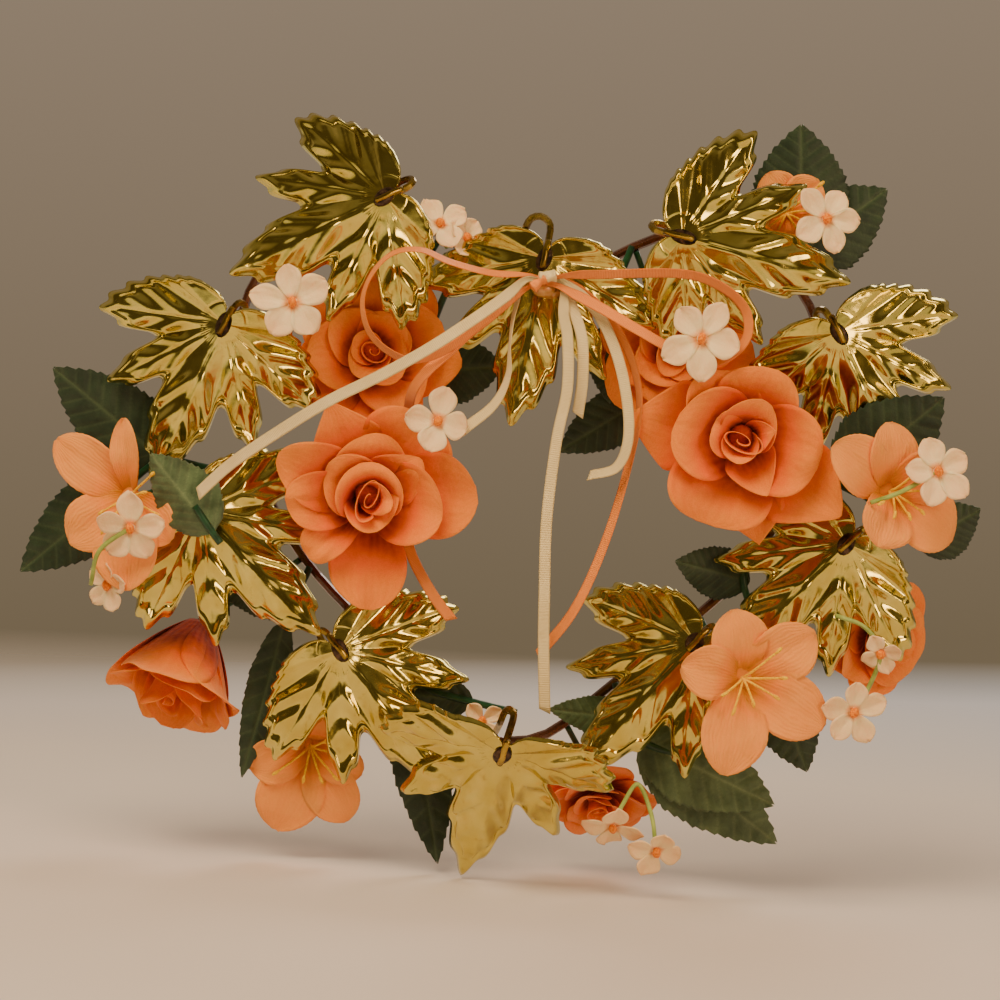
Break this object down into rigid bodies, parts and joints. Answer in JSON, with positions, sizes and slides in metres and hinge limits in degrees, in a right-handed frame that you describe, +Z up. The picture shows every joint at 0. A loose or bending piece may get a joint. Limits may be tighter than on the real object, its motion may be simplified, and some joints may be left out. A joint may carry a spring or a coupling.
{
  "type": "harvest door wreath",
  "caption": "Heart of lacquered wire that carries stamped brass maple leaves, peach silk roses, lilies and blossoms, green fabric leaves and a ribbon bow, hung on a door by its loop.",
  "frame": {"origin": "inside top of the loop of the centre leaf's brass stem, the eye that the wreath hangs from", "axes": "+Z up, -Y towards the viewer with the door behind at +Y, +X to the viewer's right"},
  "size_m": [0.393, 0.0884, 0.3159],
  "materials": {
    "bronze_lacquer": "dark copper-brown lacquer over steel wire, glossy",
    "polished_brass": "stamped sheet brass and brass rod, polished and clear lacquered",
    "rose_silk": "stiffened peach-orange polyester silk, deeper orange in the folds",
    "lily_silk": "stiffened pale peach polyester silk with a yellow-orange throat",
    "blossom_silk": "stiffened cream-pink polyester silk with an orange moulded centre",
    "leaf_silk": "printed dark green polyester cloth with pressed veins, on green moulded plastic stems",
    "cream_satin": "cream satin ribbon, ribbed weave",
    "peach_satin": "peach satin ribbon"
  },
  "bodies": {
    "root": {"blossoms_bottom": "blossom_silk", "blossoms_centre_left": "blossom_silk", "blossoms_left": "blossom_silk", "blossoms_lower_right": "blossom_silk", "blossoms_right": "blossom_silk", "blossoms_top_right": "blossom_silk", "blossoms_upper_left": "blossom_silk", "blossoms_upper_right": "blossom_silk", "bow_knot": "cream_satin", "gold_leaf_bottom": "polished_brass", "gold_leaf_centre": "polished_brass", "gold_leaf_left": "polished_brass", "gold_leaf_lower_left": "polished_brass", "gold_leaf_lower_right": "polished_brass", "gold_leaf_right": "polished_brass", "gold_leaf_top_left": "polished_brass", "gold_leaf_top_right": "polished_brass", "gold_leaf_upper_left": "polished_brass", "gold_leaf_upper_right": "polished_brass", "heart_frame": "bronze_lacquer", "leaf_spray_front_left": "leaf_silk", "leaf_spray_inner_left": "leaf_silk", "leaf_spray_left": "leaf_silk", "leaf_spray_lower_left": "leaf_silk", "leaf_spray_lower_right": "leaf_silk", "leaf_spray_right": "leaf_silk", "leaf_spray_top_right": "leaf_silk", "leaf_spray_upper_inner_left": "leaf_silk", "leaf_spray_upper_inner_right": "leaf_silk", "leaf_stem_bottom": "polished_brass", "leaf_stem_centre": "polished_brass", "leaf_stem_left": "polished_brass", "leaf_stem_lower_left": "polished_brass", "leaf_stem_lower_right": "polished_brass", "leaf_stem_right": "polished_brass", "leaf_stem_top_left": "polished_brass", "leaf_stem_top_right": "polished_brass", "leaf_stem_upper_left": "polished_brass", "leaf_stem_upper_right": "polished_brass", "lily_left": "lily_silk", "lily_lower_left": "lily_silk", "lily_lower_right": "lily_silk", "lily_right": "lily_silk", "lily_top_right": "lily_silk", "ribbon_cream_loop_left": "cream_satin", "ribbon_cream_loop_right": "cream_satin", "ribbon_cream_tail_centre": "cream_satin", "ribbon_cream_tail_left": "cream_satin", "ribbon_cream_tail_short": "cream_satin", "ribbon_peach_loop_left": "peach_satin", "ribbon_peach_loop_right": "peach_satin", "ribbon_peach_tail_left": "peach_satin", "ribbon_peach_tail_right": "peach_satin", "rose_bottom": "rose_silk", "rose_left": "rose_silk", "rose_lower_left": "rose_silk", "rose_lower_right": "rose_silk", "rose_right": "rose_silk", "rose_upper_left": "rose_silk", "rose_upper_right": "rose_silk"}
  },
  "joints": []
}
